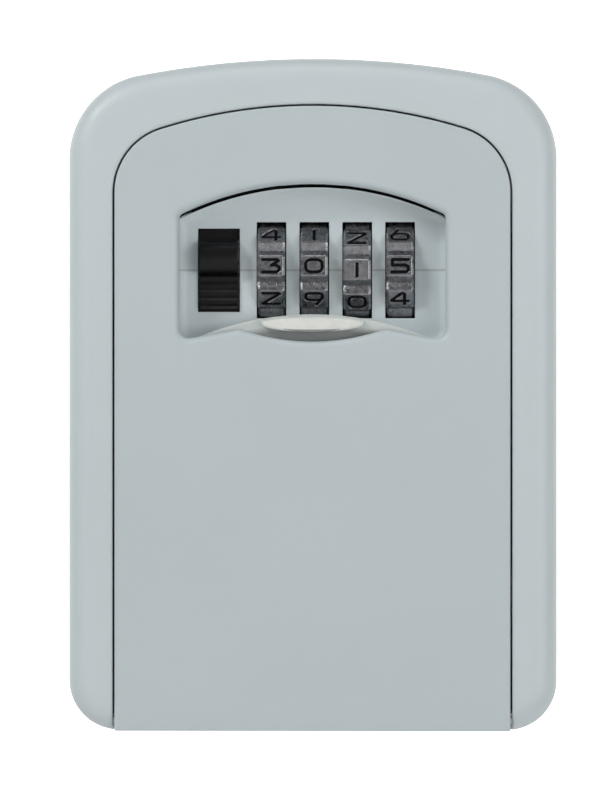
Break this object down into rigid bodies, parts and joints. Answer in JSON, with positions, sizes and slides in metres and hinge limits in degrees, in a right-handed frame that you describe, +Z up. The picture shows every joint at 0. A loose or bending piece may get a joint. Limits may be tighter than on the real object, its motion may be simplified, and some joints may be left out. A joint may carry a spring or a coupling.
{
  "type": "key lock box",
  "caption": "Wall-mounted key box with an arched front door on a bottom hinge, opened by number dials behind a sliding shutter and a thumb lever.",
  "frame": {"origin": "centre of the back face, where the box meets the wall, at half the body's height", "axes": "+Z up, +X to the right of someone facing the box, the wall on the +Y side and the front towards -Y"},
  "size_m": [0.085, 0.034, 0.117],
  "materials": {
    "body_paint": "satin paint on die-cast zinc",
    "door_paint": "satin paint on die-cast zinc",
    "panel_paint": "satin paint",
    "shutter_plastic": "smooth moulded plastic",
    "lever_plastic": "black moulded plastic",
    "dark_cover": "dark moulded plastic",
    "dial_zinc": "bare die-cast zinc with black-filled figures",
    "hub_brass": "turned brass",
    "zinc_steel": "zinc-plated pressed steel",
    "pin_steel": "plain steel pin",
    "screw_steel": "zinc-plated screw",
    "spring_steel": "spring steel"
  },
  "bodies": {
    "housing": {"housing": "body_paint", "strike_plate": "zinc_steel", "strike_rivets": "zinc_steel", "hinge_pin_left": "pin_steel", "hinge_pin_right": "pin_steel"},
    "door": {"door_shell": "door_paint", "lock_case": "panel_paint", "rear_cover": "dark_cover", "cover_screws": "screw_steel", "case_screws": "screw_steel", "dial_shaft": "pin_steel", "shaft_clips": "spring_steel", "detent_spring": "spring_steel", "hub_spring": "spring_steel", "latch_spring": "spring_steel"},
    "shutter": {"shutter": "shutter_plastic", "shutter_springs": "spring_steel"},
    "latch": {"open_lever": "lever_plastic", "latch_plate": "zinc_steel", "latch_pin": "pin_steel"},
    "reset": {"reset_lever": "lever_plastic", "reset_fork": "zinc_steel"},
    "dial_1": {"dial_1": "dial_zinc"},
    "hub_1": {"hub_1": "hub_brass"},
    "dial_2": {"dial_2": "dial_zinc"},
    "hub_2": {"hub_2": "hub_brass"},
    "dial_3": {"dial_3": "dial_zinc"},
    "hub_3": {"hub_3": "hub_brass"},
    "dial_4": {"dial_4": "dial_zinc"},
    "hub_4": {"hub_4": "hub_brass"}
  },
  "joints": [
    {"name": "door_hinge", "type": "hinge", "parent": "housing", "child": "door", "pos_m": [0, -0.0308, -0.0563], "axis": [1, 0, 0], "range_deg": [0, 100]},
    {"name": "shutter_slide", "type": "slide", "parent": "door", "child": "shutter", "axis": [0, 0, 1], "range_m": [0, 0.0229]},
    {"name": "latch_slide", "type": "slide", "parent": "door", "child": "latch", "axis": [0, 0, 1], "range_m": [0, 0.002], "deforming": ["latch_spring"]},
    {"name": "reset_slide", "type": "slide", "parent": "door", "child": "reset", "axis": [1, 0, 0], "range_m": [0, 0.0015], "deforming": ["hub_spring"]},
    {"name": "dial_1_turn", "type": "hinge", "parent": "door", "child": "dial_1", "pos_m": [-0.0073, -0.0204, 0.0217], "axis": [1, 0, 0], "continuous": true, "deforming": ["detent_spring"]},
    {"name": "dial_2_turn", "type": "hinge", "parent": "door", "child": "dial_2", "pos_m": [0.0002, -0.0204, 0.0217], "axis": [1, 0, 0], "continuous": true},
    {"name": "dial_3_turn", "type": "hinge", "parent": "door", "child": "dial_3", "pos_m": [0.0077, -0.0204, 0.0217], "axis": [1, 0, 0], "continuous": true},
    {"name": "dial_4_turn", "type": "hinge", "parent": "door", "child": "dial_4", "pos_m": [0.0152, -0.0204, 0.0217], "axis": [1, 0, 0], "continuous": true},
    {"name": "hub_1_shift", "type": "slide", "parent": "dial_1", "child": "hub_1", "axis": [1, 0, 0], "range_m": [0, 0.0015]},
    {"name": "hub_2_shift", "type": "slide", "parent": "dial_2", "child": "hub_2", "axis": [1, 0, 0], "range_m": [0, 0.0015]},
    {"name": "hub_3_shift", "type": "slide", "parent": "dial_3", "child": "hub_3", "axis": [1, 0, 0], "range_m": [0, 0.0015]},
    {"name": "hub_4_shift", "type": "slide", "parent": "dial_4", "child": "hub_4", "axis": [1, 0, 0], "range_m": [0, 0.0015]}
  ],
  "couplings": [
    {"joint": "hub_1_shift", "follows": "reset_slide", "ratio": 1},
    {"joint": "hub_2_shift", "follows": "reset_slide", "ratio": 1},
    {"joint": "hub_3_shift", "follows": "reset_slide", "ratio": 1},
    {"joint": "hub_4_shift", "follows": "reset_slide", "ratio": 1}
  ]
}
